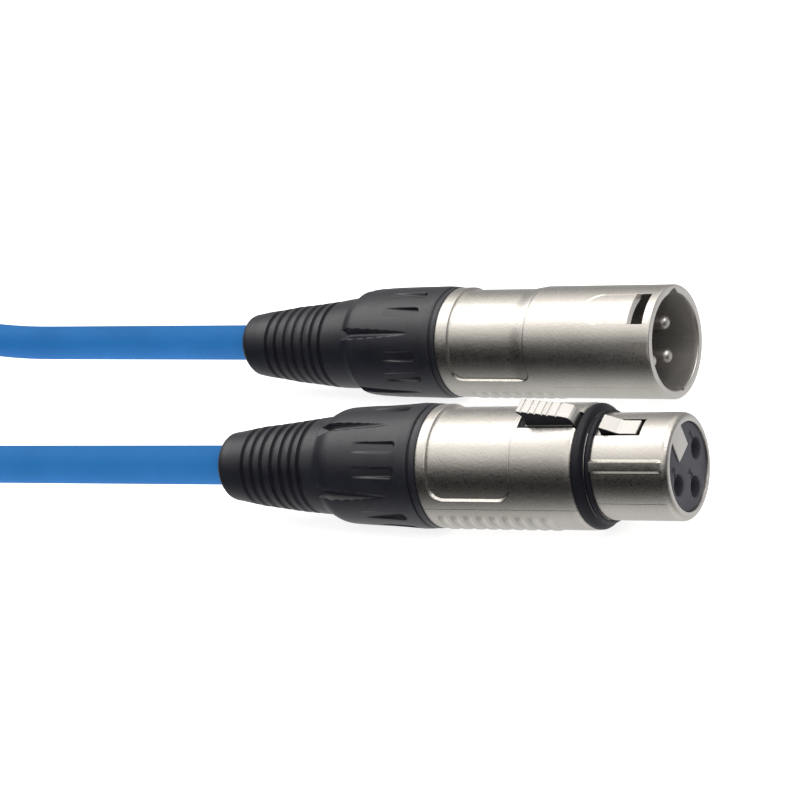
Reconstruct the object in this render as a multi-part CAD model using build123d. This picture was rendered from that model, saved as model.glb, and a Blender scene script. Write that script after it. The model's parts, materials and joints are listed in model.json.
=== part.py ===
from build123d import *
import math
import os

# Balanced audio cable: one male and one female three-pole line connector,
# joined by one continuous cable that is wound into a neat coil and held by a
# hook-and-loop tie.  Millimetres, +Z up, floor at Z = 0.
#
# Each connector is drawn in its own local frame: +X points out of the mating
# face (X = 0 is the front rim), +Z points at the latch side (12 o'clock), and
# the piece is then rolled, turned and set down where it lies.

os.makedirs("parts", exist_ok=True)

# ------------------------------------------------------------------ driving dimensions
CABLE_D = 6.4            # outer diameter of the cable jacket
CABLE_R = CABLE_D / 2

M_FRONT = (29.698, 25.825)    # male mating face centre, X and Y
M_ROLL = 31.92                # roll of the male latch window away from straight up
AXIS_Z = 9.75                 # height of both connector axes above the floor
F_FRONT = (56.308, -23.465)   # female mating face centre, X and Y
F_ROLL = 19.26                # roll of the female latch away from straight up
F_YAW = 3.07                  # the two connectors spread apart towards the cable

SHELL_R = 9.5            # die-cast shells
M_SHELL_L = 41.6         # rim to the back of the male shell
F_SHELL_L = 41.0         # rim to the back of the female shell
SHELL_BORE = 8.2         # bore behind the insert
RECESS_R_M = 9.07        # floor of the label recess
RECESS_R_F = 8.96
RECESS_T = (25.0, 38.9)  # label recess, distance behind the rim
RECESS_HALF = 80.0       # half angle of the label recess about 12 o'clock

CUP_R = 8.1              # male cup, takes the female nose
CUP_DEPTH = 15.5
WIN_T = (1.45, 4.35)     # latch window in the male cup
WIN_HALF = 3.1
NOSE_R = 7.95            # female nose
NOSE_L = 12.0
RING_T = (12.15, 14.7)    # black ring between nose and body
RING_IN = 8.05
SLOT_HALF = 1.75         # latch slot half width
LATCH_HALF = 1.45        # latch half width
KEY_HALF = 1.95          # metal key in the female face
KEY_LOW = 2.65
FACE_R = 6.6             # visible face of the female insert

PIN_PITCH = 4.0          # contacts at 3, 6 and 9 o'clock on this radius
PIN_R = 1.2
SOCKET_R = 1.25
SHANK_R = 1.7            # contact shank inside the insert
RIB_DEG = 47.5           # polarising ribs on the nose, either side of the latch
RIB2_DEG = -145.0
RIB_R = 8.42
NOTCH_DEG = -49.5        # matching notches inside the male cup
NOTCH2_DEG = 145.0
NOTCH_R = 8.85
PIN_TIP_T = 2.6

PIVOT_T = 25.4           # latch pivot behind the female rim
PIVOT_Z = 6.9
PIVOT_R = 0.5
PIVOT_LEN = 6.8
SPRING_T = 18.0

M_BOOT_END = 86.4        # rim to the tail end of the male boot
F_BOOT_END = 80.4        # the same for the female boot
WIN_F_T = 4.9            # front of the latch window in the nose

# cable coil
COIL_C = (-179.2, -5.3)       # coil centre
COIL_COLS = (29.8, 36.4, 43.0)
COIL_PITCH = 6.6
COIL_LAYERS = 4
TIE_W = 20.0
TIE_TH = 1.2
TIE_ANGLE = 205.0             # where the tie sits round the coil


def rev(pts):
    """Solid of revolution about X from (x, r) corners."""
    line = Polyline(*[(x, 0, r) for x, r in pts], close=True)
    return revolve(make_face(line.edges()), Axis.X, 360)


def tube(x0, x1, r1, r0=0.0):
    """Cylinder or tube along X between x0 and x1."""
    lo, hi = min(x0, x1), max(x0, x1)
    s = Pos((lo + hi) / 2, 0, 0) * Rot(0, 90, 0) * Cylinder(r1, hi - lo)
    if r0 > 0:
        s -= Pos((lo + hi) / 2, 0, 0) * Rot(0, 90, 0) * Cylinder(r0, hi - lo + 0.02)
    return s


def block(x0, x1, y0, y1, z0, z1):
    return Pos((x0 + x1) / 2, (y0 + y1) / 2, (z0 + z1) / 2) * Box(
        abs(x1 - x0), abs(y1 - y0), abs(z1 - z0))


def at(x, y, z):
    return Pos(x, y, z)


def sector(x0, x1, r_in, r_out, half_deg):
    """Ring sector about +Z, between two radii."""
    ring = tube(x0, x1, r_out, r_in)
    pts = [(0, 0)]
    n = 16
    for i in range(n + 1):
        a = math.radians(-half_deg + 2 * half_deg * i / n)
        pts.append((30 * math.sin(a), 30 * math.cos(a)))
    wedge = make_face(Polyline(*[(x0 - 1, y, z) for y, z in pts], close=True).edges())
    wedge = extrude(wedge, amount=abs(x1 - x0) + 4, dir=(1 if x1 > x0 else -1, 0, 0))
    return ring & wedge


MALE = Pos(M_FRONT[0], M_FRONT[1], AXIS_Z) * Rot(M_ROLL, 0, 0)
FEMALE = Pos(F_FRONT[0], F_FRONT[1], AXIS_Z) * Rot(0, 0, F_YAW) * Rot(F_ROLL, 0, 0)

nodes = {}


def put(name, shape, where=None):
    if isinstance(shape, (list, ShapeList)):
        shape = Compound(children=list(shape))
    if where is not None:
        shape = where * shape
    nodes[name] = shape


# contact centres: (y, z) at 9, 3 and 6 o'clock seen from the front
CONTACTS = [(-PIN_PITCH, 0.0), (PIN_PITCH, 0.0), (0.0, -PIN_PITCH)]


def grip_bumps(r):
    """Row of short raised bars on the underside, square to the axis."""
    out = None
    for i in range(9):
        t = 21.4 + 2.2 * i
        bar = sector(-t - 0.55, -t + 0.55, r - 0.4, r + 0.14, 62.0)
        bar = Rot(180, 0, 0) * bar
        out = bar if out is None else out + bar
    return out


def wedge_bar(x0, x1, deg, r0, r1, w0, w1):
    """Bar along X with a trapezium section, at an angle from the latch side."""
    face = make_face(Polyline((x0, -w0, r0), (x0, w0, r0), (x0, w1, r1), (x0, -w1, r1),
                              close=True).edges())
    return Rot(deg, 0, 0) * extrude(face, amount=abs(x1 - x0), dir=(1 if x1 > x0 else -1, 0, 0))


# ------------------------------------------------------------------ male connector
m_shell = rev([(-0.35, SHELL_R), (0.0, SHELL_R - 0.35), (0.0, CUP_R + 0.35), (-0.35, CUP_R),
               (-CUP_DEPTH, CUP_R), (-CUP_DEPTH, SHELL_BORE), (-M_SHELL_L, SHELL_BORE),
               (-M_SHELL_L, SHELL_R - 0.3), (-M_SHELL_L + 0.3, SHELL_R)])
m_shell -= sector(-RECESS_T[1], -RECESS_T[0], RECESS_R_M, 12.0, RECESS_HALF)
m_shell += grip_bumps(SHELL_R) & tube(-M_SHELL_L, 0, 12, SHELL_BORE + 0.5)
m_shell -= block(-WIN_T[1], -WIN_T[0], -WIN_HALF, WIN_HALF, 5.0, 12.0)
m_shell -= (block(-10.0, -WIN_T[1] + 0.3, -WIN_HALF, WIN_HALF, 9.32, 12.0)
            + at(-10.0, 0, 10.66) * Cylinder(WIN_HALF, 2.68)) & tube(-20, 0, 12, 9.32)
for deg in (NOTCH_DEG, NOTCH2_DEG):
    m_shell -= wedge_bar(0.5, -12.8, deg, 7.6, NOTCH_R, 1.55, 0.75)
put("male_shell", m_shell, MALE)


def contact_rear(t0, t1, y, z):
    """Solder cup: a tube with one side cut open."""
    cup = tube(-t0, -t1, SHANK_R) - tube(-t1 + 4.6, -t1 - 1, 1.05)
    cup -= block(-t1 - 1, -t1 + 4.0, -2, 2, 0.45, 3)
    return at(0, y, z) * cup


for n, (y, z) in enumerate(CONTACTS, 1):
    pin = rev([(-PIN_TIP_T, 0), (-PIN_TIP_T, 0.35), (-PIN_TIP_T - 0.35, 0.85),
               (-PIN_TIP_T - 1.0, PIN_R), (-CUP_DEPTH, PIN_R), (-CUP_DEPTH, SHANK_R),
               (-22.5, SHANK_R), (-22.5, 0)])
    put(f"male_pin_{n}", at(0, y, z) * pin + contact_rear(22.5, 29.5, y, z), MALE)

m_ins = tube(-CUP_DEPTH, -26.0, CUP_R)
for y, z in CONTACTS:
    m_ins -= at(0, y, z) * tube(-10, -30.0, SHANK_R)
put("male_insert", m_ins, MALE)

# ------------------------------------------------------------------ female connector
f_shell = rev([(-0.7, NOSE_R), (-0.2, NOSE_R - 0.18), (0.0, NOSE_R - 0.6), (0.0, FACE_R),
               (-1.4, FACE_R), (-1.4, 7.1), (-15.4, 7.1), (-16.4, SHELL_BORE),
               (-F_SHELL_L, SHELL_BORE), (-F_SHELL_L, SHELL_R - 0.3), (-F_SHELL_L + 0.3, SHELL_R),
               (-RING_T[1] - 0.4, SHELL_R), (-RING_T[1], SHELL_R - 0.4),
               (-RING_T[1], RING_IN + 0.3), (-NOSE_L - 1.0, RING_IN + 0.3), (-NOSE_L - 1.0, RING_IN),
               (-RING_T[0] - 0.1, RING_IN), (-RING_T[0] - 0.1, NOSE_R)])
f_shell += (block(-1.4, 0.0, -KEY_HALF, KEY_HALF, KEY_LOW, 7.3) & tube(-2, 0, 7.3))
for deg in (RIB_DEG, RIB2_DEG):
    f_shell += wedge_bar(-0.9, -RING_T[0] + 0.05, deg, 7.5, RIB_R, 1.15, 0.62)
f_shell -= sector(-RECESS_T[1], -RECESS_T[0], RECESS_R_F, 12.0, RECESS_HALF)
f_shell += grip_bumps(SHELL_R) & tube(-F_SHELL_L, 0, 12, SHELL_BORE + 0.5)
# latch window in the nose, and the slot for the button in the body
f_shell -= block(-26.6, -WIN_F_T, -SLOT_HALF, SLOT_HALF, 5.0, 8.9)
f_shell -= block(-24.4, -WIN_F_T, -SLOT_HALF, SLOT_HALF, 5.0, 14.0)
put("female_shell", f_shell, FEMALE)

ring = rev([(-RING_T[0], RING_IN), (-RING_T[0], 8.2), (-RING_T[0] - 0.3, 8.5), (-12.75, 8.5),
            (-12.95, 8.35), (-13.15, 8.4), (-13.4, 9.0), (-13.75, 9.35), (-14.35, 9.4),
            (-RING_T[1], 9.2), (-RING_T[1], RING_IN + 0.3), (-NOSE_L - 1.0, RING_IN + 0.3),
            (-NOSE_L - 1.0, RING_IN)])
put("female_ring", ring, FEMALE)

f_ins = rev([(-0.3, 0), (-0.3, FACE_R), (-1.4, FACE_R), (-1.4, 7.1), (-15.4, 7.1),
             (-16.4, SHELL_BORE), (-27.6, SHELL_BORE), (-27.6, 0)])
f_ins -= block(-1.4, 0.1, -KEY_HALF, KEY_HALF, KEY_LOW, 8)
f_ins -= block(-26.8, -WIN_F_T + 0.2, -SLOT_HALF, SLOT_HALF, 4.9, 9)
f_ins -= at(-SPRING_T, 0, 3.6) * Cylinder(1.35, 3.0)
f_ins -= at(-PIVOT_T, 0, PIVOT_Z) * Rot(90, 0, 0) * Cylinder(PIVOT_R, PIVOT_LEN)
for y, z in CONTACTS:
    f_ins -= at(0, y, z) * rev([(1, 0), (1, 1.85), (-0.3, 1.85), (-0.7, 1.55), (-1.8, 1.55),
                                (-1.8, 0)])
    f_ins -= at(0, y, z) * tube(-1.8, -30, 1.75)
put("female_insert", f_ins, FEMALE)

for n, (y, z) in enumerate(CONTACTS, 1):
    sock = tube(-1.8, -16.0, 1.75) - tube(-1.0, -14.5, SOCKET_R)
    sock += tube(-16.0, -27.6, 1.75)
    put(f"female_contact_{n}", at(0, y, z) * sock + contact_rear(27.6, 33.0, y, z), FEMALE)

# latch: one lever with a ridged push button at the back and a tooth in front
RIDGES = 6
B0, B1 = 14.95, 23.7          # button, distance behind the rim
Z0, Z1 = 11.0, 12.35          # button height above the axis at its front and rear
prof = [(-5.6, 6.7), (-5.6, 7.75), (-8.7, 7.9), (-10.7, 8.95), (-11.05, 8.85), (-11.15, 7.6),
        (-B0, 7.6), (-B0, 10.2), (-B0 - 0.5, Z0)]
step = (B1 - B0 - 1.6) / RIDGES
for i in range(RIDGES):
    t = B0 + 1.6 + step * i
    zt = Z0 + (Z1 - Z0) * (t - B0) / (B1 - B0)
    prof += [(-t + 0.25, zt - 0.02), (-t, zt - 0.32), (-t - step * 0.55, zt + 0.12)]
prof += [(-B1, Z1 - 0.05), (-B1 + 0.9, Z1 - 1.0), (-B1 + 0.9, 9.6), (-B1 + 0.35, 9.1),
         (-B1 + 0.35, 8.3), (-PIVOT_T - 0.2, 7.9), (-PIVOT_T - 0.95, 7.3), (-PIVOT_T - 0.95, 6.4),
         (-PIVOT_T - 0.4, 5.95), (-PIVOT_T + 0.6, 5.95), (-PIVOT_T + 1.6, 6.5),
         (-15.5, 6.7)]
latch = extrude(make_face(Polyline(*[(x, -LATCH_HALF, z) for x, z in prof], close=True).edges()),
                amount=2 * LATCH_HALF, dir=(0, 1, 0))
latch -= at(-PIVOT_T, 0, PIVOT_Z) * Rot(90, 0, 0) * Cylinder(PIVOT_R + 0.04, 8)
put("female_latch", latch, FEMALE)

put("female_latch_pin", at(-PIVOT_T, 0, PIVOT_Z) * Rot(90, 0, 0) * Cylinder(PIVOT_R, PIVOT_LEN), FEMALE)

# return spring under the lever
SP_Z0, SP_Z1, SP_R, SP_W = 2.1, 6.66, 0.9, 0.16
sp_turns = 6
hx = Helix((SP_Z1 - SP_Z0 - 2 * SP_W - 0.06) / sp_turns, SP_Z1 - SP_Z0 - 2 * SP_W - 0.06, SP_R)
sp = sweep(Plane(hx @ 0, z_dir=hx % 0) * Circle(SP_W), hx, is_frenet=True)
put("female_latch_spring", at(-SPRING_T, 0, SP_Z0 + SP_W + 0.02) * sp, FEMALE)


# ------------------------------------------------------------------ cable clamp and boots
def boot_profile(male):
    """Outer profile (t, r) of the rubber boot, smooth grip, step, tapered ribbed tail."""
    if male:
        return [(M_SHELL_L, 9.45), (42.1, 9.65), (44.0, 9.75), (50.0, 9.68), (54.0, 9.63), (58.0, 9.45),
                (59.5, 9.3), (60.3, 9.15), (60.8, 8.85), (61.3, 8.4), (61.8, 8.15), (63.0, 8.06),
                (65.0, 7.92), (68.0, 7.64), (72.0, 7.2), (76.0, 6.85), (80.0, 6.27), (82.5, 6.0),
                (84.0, 5.75), (84.8, 5.62), (85.4, 5.4), (85.9, 5.0), (86.2, 4.5), (M_BOOT_END, 3.8)]
    return [(F_SHELL_L, 9.45), (41.5, 9.65), (44.0, 9.68), (47.0, 9.49), (50.0, 9.34), (53.0, 9.26),
            (55.5, 9.15), (57.0, 9.05), (58.0, 8.83), (58.8, 8.5), (59.6, 8.07), (60.2, 7.78),
            (60.5, 7.72), (62.5, 7.55), (66.0, 7.21), (70.0, 6.75), (74.0, 6.33), (76.5, 5.88),
            (78.0, 5.62), (79.0, 5.5), (79.5, 5.3), (79.9, 4.95), (80.2, 4.4), (F_BOOT_END, 3.8)]


def boot_set(name, male, where):
    end = M_BOOT_END if male else F_BOOT_END
    front = M_SHELL_L if male else F_SHELL_L
    k = 0.0 if male else -3.0          # the female boot is a little shorter
    bb = 59.0 + k                      # back of the hard bush
    # hard bush, screwed into the shell, squeezes the chuck
    bush = rev([(-36.0, 7.3), (-36.0, SHELL_BORE - 0.08), (-front, SHELL_BORE - 0.08), (-front, 8.35),
                (-bb + 1.5, 8.1), (-bb, 7.4), (-bb, 3.6), (-bb + 4.0, 3.6),
                (-54.0 - k, 5.1), (-44.0, 7.1), (-44.0, 7.3)])
    put(name + "_bush", bush, where)
    # rubber boot moulded over the bush
    out = [(-t, r) for t, r in boot_profile(male)]
    inner = [(-end, CABLE_R + 0.05), (-bb, CABLE_R + 0.05), (-bb, 7.4), (-bb + 1.5, 8.1),
             (-front, 8.35)]
    boot = rev(out + inner)
    put(name + "_boot", boot, where)
    # split chuck round the jacket
    chuck = rev([(-39.0, CABLE_R), (-39.0, 7.0), (-43.8, 7.0), (-53.5 - k, 5.05),
                 (-53.5 - k, CABLE_R)])
    for a in (0, 90):
        chuck -= Rot(a, 0, 0) * block(-56, -42.5, -0.4, 0.4, -9, 9)
    put(name + "_chuck", chuck, where)
    # jacket inside the boot
    put(name + "_cable_tail", tube(-37.5, -end, CABLE_R), where)
    # two insulated cores and the twisted shield, from the jacket to the solder cups
    cup_end = 29.5 if male else 33.0
    for core, (y, z), r in (("shield_wire", CONTACTS[0], 0.55), ("core_hot", CONTACTS[1], 0.7),
                            ("core_cold", CONTACTS[2], 0.7)):
        d = math.hypot(y, z)
        sy, sz = y / d * 1.25, z / d * 1.25
        t1, t0 = 37.5, cup_end - 3.6
        tm = (37.5 + cup_end) / 2
        pth = FilletPolyline((-t1, sy, sz), (-t1 + 1.5, sy, sz), (-cup_end - 1.2, y, z),
                             (-t0, y, z), radius=1.2)
        wire = sweep(Plane(pth @ 0, z_dir=pth % 0) * Circle(r), pth)
        put(name + "_" + core, wire, where)


boot_set("male", True, MALE)
boot_set("female", False, FEMALE)

# ------------------------------------------------------------------ cable
hm = math.radians(F_YAW)
f_dir = (-math.cos(hm), -math.sin(hm))


def f_at(t, side=0.0):
    """Point on the female axis, t behind its rim, side towards +Y."""
    return (F_FRONT[0] + f_dir[0] * t, F_FRONT[1] + f_dir[1] * t + side)


R_OUT = COIL_COLS[-1]
Z_IN = CABLE_R + COIL_PITCH           # layer 2
Z_OUT = CABLE_R + 2 * COIL_PITCH      # layer 3
COIL_RO = R_OUT + CABLE_R
COIL_RI = COIL_COLS[0] - CABLE_R
COIL_H = 2 * CABLE_R + (COIL_LAYERS - 1) * COIL_PITCH
X_TAN = COIL_C[0]
Y_M = COIL_C[1] + R_OUT
Y_F = COIL_C[1] - R_OUT

mx0 = M_FRONT[0] - M_BOOT_END
fx0, fy0 = f_at(F_BOOT_END)
fx1, fy1 = f_at(130.0)

MALE_ROUTE = [(mx0, M_FRONT[1], AXIS_Z), (mx0 - 64.4, M_FRONT[1], AXIS_Z),
              (-147.2, Y_M - 0.6, Z_IN), (X_TAN + 6.0, Y_M + 0.2, Z_IN)]
FEMALE_ROUTE = [(fx0, fy0, AXIS_Z), (fx1, fy1, AXIS_Z), (-105.2, fy1 - 5.2, AXIS_Z + 1.6),
                (-141.2, Y_F + 0.9, Z_OUT - 1.0), (X_TAN + 6.0, Y_F - 0.2, Z_OUT)]


def cord(name, pts, r):
    """Tube along straight runs and tangent arcs; each arc is 0.45 of the shorter run."""
    v = [Vector(*p) for p in pts]
    radii = []
    for i in range(1, len(v) - 1):
        a, b = v[i] - v[i - 1], v[i + 1] - v[i]
        turn = math.radians(a.get_angle(b))
        radii.append(0.45 * min(a.length, b.length) / math.tan(turn / 2))
    runs = [round((v[i + 1] - v[i]).length, 1) for i in range(len(v) - 1)]
    print(name, "runs", runs, "radii", [round(x, 1) for x in radii])
    path = FilletPolyline(*pts, radius=radii)
    body = sweep(Plane(path @ 0, z_dir=path % 0) * Circle(r), path)
    want = math.pi * r * r * path.length
    print(name, "length", round(path.length, 2), "volume", round(body.volume, 1), "expected",
          round(want, 1))
    put(name, body)
    return path.length


lm = cord("cable_lead_male", MALE_ROUTE, CABLE_R)
lf = cord("cable_lead_female", FEMALE_ROUTE, CABLE_R)

# coil: outer shape of 11.5 turns, three abreast and four high
coil = revolve(make_face(Polyline((COIL_RI, 0, 0.8), (COIL_RI + 0.8, 0, 0), (COIL_RO - 0.8, 0, 0),
                                  (COIL_RO, 0, 0.8), (COIL_RO, 0, COIL_H - 0.8),
                                  (COIL_RO - 0.8, 0, COIL_H), (COIL_RI + 0.8, 0, COIL_H),
                                  (COIL_RI, 0, COIL_H - 0.8), close=True).edges()), Axis.Z, 360)
# the tie squeezes the bundle a little where it goes round
TIE_IN = 0.15
w = TIE_W / 2 + 0.2
for c in (block(0, COIL_RI + TIE_IN + 0.1, -w, w, -1, 40), block(COIL_RO - 1.35, COIL_RO + 9, -w, w, -1, 40),
          block(0, COIL_RO + 9, -w, w, -1, TIE_TH + 0.05),
          block(0, COIL_RO + 9, -w, w, COIL_H - 0.1, 40)):
    coil -= Rot(0, 0, TIE_ANGLE) * c
put("cable_coil", Pos(COIL_C[0], COIL_C[1], 0) * coil)

xi, xo = COIL_RI + TIE_IN, COIL_RO - 1.3
tie = block(xi - TIE_TH, xo + TIE_TH, -TIE_W / 2, TIE_W / 2, 0, COIL_H - 0.05 + TIE_TH)
tie -= block(xi, xo, -TIE_W, TIE_W, TIE_TH, COIL_H - 0.05)
# overlapping tab on the outside
tie += block(xo + TIE_TH, xo + 2 * TIE_TH, -TIE_W / 2, TIE_W / 2, 4.0, COIL_H - 3.0)
put("coil_tie", Pos(COIL_C[0], COIL_C[1], 0) * Rot(0, 0, TIE_ANGLE) * tie)

turn_len = 4140.0 / 360.0 * 2 * math.pi * sum(COIL_COLS) / 3
print("cable: leads", round(lm), round(lf), "coil", round(turn_len), "total free",
      round(lm + lf + turn_len), "with the ends inside the boots",
      round(lm + lf + turn_len + M_BOOT_END + F_BOOT_END - 75))

# ------------------------------------------------------------------ write
for name, shape in nodes.items():
    export_step(shape, f"parts/{name}.step")

cordish = {"cable_lead_male", "cable_lead_female", "cable_coil", "coil_tie"}
lo = [1e9] * 3
hi = [-1e9] * 3
for name, shape in nodes.items():
    if name in cordish:
        continue
    bb = shape.bounding_box()
    for i, (a, b) in enumerate(zip(bb.min, bb.max)):
        lo[i] = min(lo[i], a)
        hi[i] = max(hi[i], b)
print("object without the cable", [round(x, 3) for x in lo], [round(x, 3) for x in hi],
      "centre", round((lo[0] + hi[0]) / 2, 3), round((lo[1] + hi[1]) / 2, 3))
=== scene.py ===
import json
import math
import bmesh
import bpy
import numpy as np
from mathutils import Matrix, Vector


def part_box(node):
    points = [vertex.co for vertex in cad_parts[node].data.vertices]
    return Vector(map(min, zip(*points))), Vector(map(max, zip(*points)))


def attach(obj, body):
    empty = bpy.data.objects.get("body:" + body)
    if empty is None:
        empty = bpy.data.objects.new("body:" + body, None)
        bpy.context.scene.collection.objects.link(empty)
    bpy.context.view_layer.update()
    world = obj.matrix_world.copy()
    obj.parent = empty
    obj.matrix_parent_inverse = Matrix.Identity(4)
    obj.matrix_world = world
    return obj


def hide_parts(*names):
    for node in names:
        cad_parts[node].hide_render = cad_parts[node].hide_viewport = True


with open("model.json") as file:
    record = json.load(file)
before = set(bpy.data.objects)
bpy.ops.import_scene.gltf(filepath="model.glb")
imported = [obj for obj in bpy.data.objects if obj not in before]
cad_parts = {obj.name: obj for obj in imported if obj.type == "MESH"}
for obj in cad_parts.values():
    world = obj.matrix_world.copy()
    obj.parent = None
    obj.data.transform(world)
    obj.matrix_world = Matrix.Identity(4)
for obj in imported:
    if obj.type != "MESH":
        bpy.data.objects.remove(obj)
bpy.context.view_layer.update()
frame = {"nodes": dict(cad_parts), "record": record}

REC = frame["record"]
MM = 0.001
MOUNTS = {m["name"]: m for m in REC["mounts"]}

# ------------------------------------------------------------------ connector frames
# local +X leaves the mating face, +Z points at the latch side, -Y faces the viewer


def conn_frame(front, axis, low_contact):
    x = Vector(axis).normalized()
    d = Vector(low_contact) - Vector(front)
    z = -(d - d.dot(x) * x).normalized()
    y = z.cross(x)
    m = Matrix((x, y, z)).transposed().to_4x4()
    m.translation = Vector(front)
    return m


_cup = MOUNTS["male_cup"]
_nose = MOUNTS["female_nose"]
MALE = conn_frame(_cup["pos_m"], _cup["axis"], MOUNTS["male_pin_3"]["pos_m"])
FEMALE = conn_frame(_nose["pos_m"], _nose["axis"], MOUNTS["female_socket_3"]["pos_m"])
AXIS_Z = _cup["pos_m"][2]

# ------------------------------------------------------------------ small helpers
COL = bpy.context.scene.collection


def sstep(e0, e1, x):
    t = np.clip((x - e0) / (e1 - e0), 0, 1)
    return t * t * (3 - 2 * t)


def new_obj(name, verts, faces, frame_m=None, mats=(), smooth=40.0, body="cable_assembly"):
    """verts in millimetres, in the connector's local frame when frame_m is given."""
    me = bpy.data.meshes.new(name)
    v = np.asarray(verts, float) * MM
    me.from_pydata(v.tolist(), [], [list(map(int, f)) for f in faces])
    me.update()
    bm = bmesh.new()
    bm.from_mesh(me)
    bmesh.ops.remove_doubles(bm, verts=bm.verts, dist=1e-7)
    bmesh.ops.dissolve_degenerate(bm, dist=1e-8, edges=bm.edges)
    bmesh.ops.recalc_face_normals(bm, faces=bm.faces)
    bm.to_mesh(me)
    bm.free()
    if frame_m is not None:
        me.transform(frame_m)
    ob = bpy.data.objects.new(name, me)
    COL.objects.link(ob)
    for m in mats:
        me.materials.append(m)
    if smooth:
        shade(ob, smooth)
    if body:
        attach(ob, body)
    return ob


def shade(ob, deg):
    me = ob.data
    bm = bmesh.new()
    bm.from_mesh(me)
    lim = math.radians(deg)
    for f in bm.faces:
        f.smooth = True
    for e in bm.edges:
        e.smooth = not (len(e.link_faces) == 2 and e.calc_face_angle(0) > lim)
    bm.to_mesh(me)
    bm.free()


def polar(x, r, th):
    """Local point: th is measured from the latch side towards the viewer."""
    return np.stack([x, -r * np.sin(th), r * np.cos(th)], axis=-1)


def lathe(name, loop, thetas, mats, frame_m, mod=None, smooth=40.0):
    """Closed ring body: loop is a closed list of (x, r) corners round the wall section."""
    loop = np.asarray(loop, float)
    n, m = len(loop), len(thetas)
    X = np.repeat(loop[:, 0][:, None], m, 1)
    R = np.repeat(loop[:, 1][:, None], m, 1)
    T = np.repeat(np.asarray(thetas)[None, :], n, 0)
    if mod is not None:
        X, R = mod(X, R, T)
    P = polar(X, R, T).reshape(-1, 3)
    faces = []
    for i in range(n):
        i2 = (i + 1) % n
        for j in range(m):
            j2 = (j + 1) % m
            faces.append((i * m + j, i * m + j2, i2 * m + j2, i2 * m + j))
    return new_obj(name, P, faces, frame_m, mats, smooth)


def densify(pts, step):
    """Closed or open corner list, with extra points along its straight edges."""
    out = []
    for a, b in zip(pts, pts[1:]):
        a, b = np.array(a, float), np.array(b, float)
        k = max(1, int(round(np.linalg.norm(b - a) / step)))
        for i in range(k):
            out.append(tuple(a + (b - a) * i / k))
    out.append(tuple(pts[-1]))
    return out


def round_corner(p0, p1, p2, r, n=4):
    """Points of a small fillet at corner p1."""
    p0, p1, p2 = (np.array(p, float) for p in (p0, p1, p2))
    a, b = (p0 - p1) / np.linalg.norm(p0 - p1), (p2 - p1) / np.linalg.norm(p2 - p1)
    out = []
    for i in range(n + 1):
        t = i / n
        q0, q2 = p1 + a * r, p1 + b * r
        out.append(tuple((1 - t) ** 2 * q0 + 2 * t * (1 - t) * p1 + t * t * q2))
    return out


def boolean(ob, cutter, op="DIFFERENCE"):
    md = ob.modifiers.new("cut", "BOOLEAN")
    md.operation = op
    md.solver = "EXACT"
    md.object = cutter
    dg = bpy.context.evaluated_depsgraph_get()
    me = bpy.data.meshes.new_from_object(ob.evaluated_get(dg))
    ob.modifiers.clear()
    old = ob.data
    ob.data = me
    bpy.data.meshes.remove(old)
    bpy.data.objects.remove(cutter)


def prism(name, outline, lo, hi, axis, frame_m, rounded=0.0, seg=3, mats=(), body=None, smooth=35.0):
    """Extrude a 2-D outline between lo and hi along a local axis (x, y or z), millimetres."""
    n = len(outline)
    put = {"x": lambda u, v, w: (w, u, v), "y": lambda u, v, w: (u, w, v), "z": lambda u, v, w: (u, v, w)}[axis]
    verts = [put(u, v, lo) for u, v in outline] + [put(u, v, hi) for u, v in outline]
    faces = [tuple(range(n)), tuple(range(n, 2 * n))]
    faces += [(i, (i + 1) % n, n + (i + 1) % n, n + i) for i in range(n)]
    ob = new_obj(name, verts, faces, None, mats, 0, None)
    if rounded:
        bm = bmesh.new()
        bm.from_mesh(ob.data)
        ed = [e for e in bm.edges if len(e.link_faces) == 2 and e.calc_face_angle(0) > 0.3]
        bmesh.ops.bevel(bm, geom=ed, offset=rounded * MM, segments=seg, profile=0.5,
                        affect="EDGES", clamp_overlap=True)
        bmesh.ops.recalc_face_normals(bm, faces=bm.faces)
        bm.to_mesh(ob.data)
        bm.free()
    if frame_m is not None:
        ob.data.transform(frame_m)
    if smooth:
        shade(ob, smooth)
    if body:
        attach(ob, body)
    return ob


# ------------------------------------------------------------------ materials
def mat_base(name):
    m = bpy.data.materials.new(name)
    m.use_nodes = True
    nt = m.node_tree
    nt.nodes.clear()
    out = nt.nodes.new("ShaderNodeOutputMaterial")
    b = nt.nodes.new("ShaderNodeBsdfPrincipled")
    nt.links.new(b.outputs[0], out.inputs[0])
    tc = nt.nodes.new("ShaderNodeTexCoord")
    return m, nt, b, tc


def noise(nt, tc, scale, detail=2.0, rough=0.5, stretch=None, kind="ShaderNodeTexNoise"):
    n = nt.nodes.new(kind)
    n.inputs["Scale"].default_value = scale
    if "Detail" in n.inputs:
        n.inputs["Detail"].default_value = detail
    if "Roughness" in n.inputs:
        n.inputs["Roughness"].default_value = rough
    if stretch:
        mp = nt.nodes.new("ShaderNodeMapping")
        mp.inputs["Scale"].default_value = stretch
        nt.links.new(tc.outputs["Object"], mp.inputs[0])
        nt.links.new(mp.outputs[0], n.inputs["Vector"])
    else:
        nt.links.new(tc.outputs["Object"], n.inputs["Vector"])
    return n


def ramp(nt, src, stops):
    r = nt.nodes.new("ShaderNodeValToRGB")
    el = r.color_ramp.elements
    while len(el) > 1:
        el.remove(el[-1])
    el[0].position, el[0].color = stops[0][0], stops[0][1]
    for p, c in stops[1:]:
        e = el.new(p)
        e.color = c
    nt.links.new(src, r.inputs[0])
    return r


def grey(v):
    return (v, v, v, 1)


def bump(nt, b, src, strength, dist):
    bp = nt.nodes.new("ShaderNodeBump")
    bp.inputs["Strength"].default_value = strength
    bp.inputs["Distance"].default_value = dist
    nt.links.new(src, bp.inputs["Height"])
    nt.links.new(bp.outputs[0], b.inputs["Normal"])
    return bp


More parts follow.
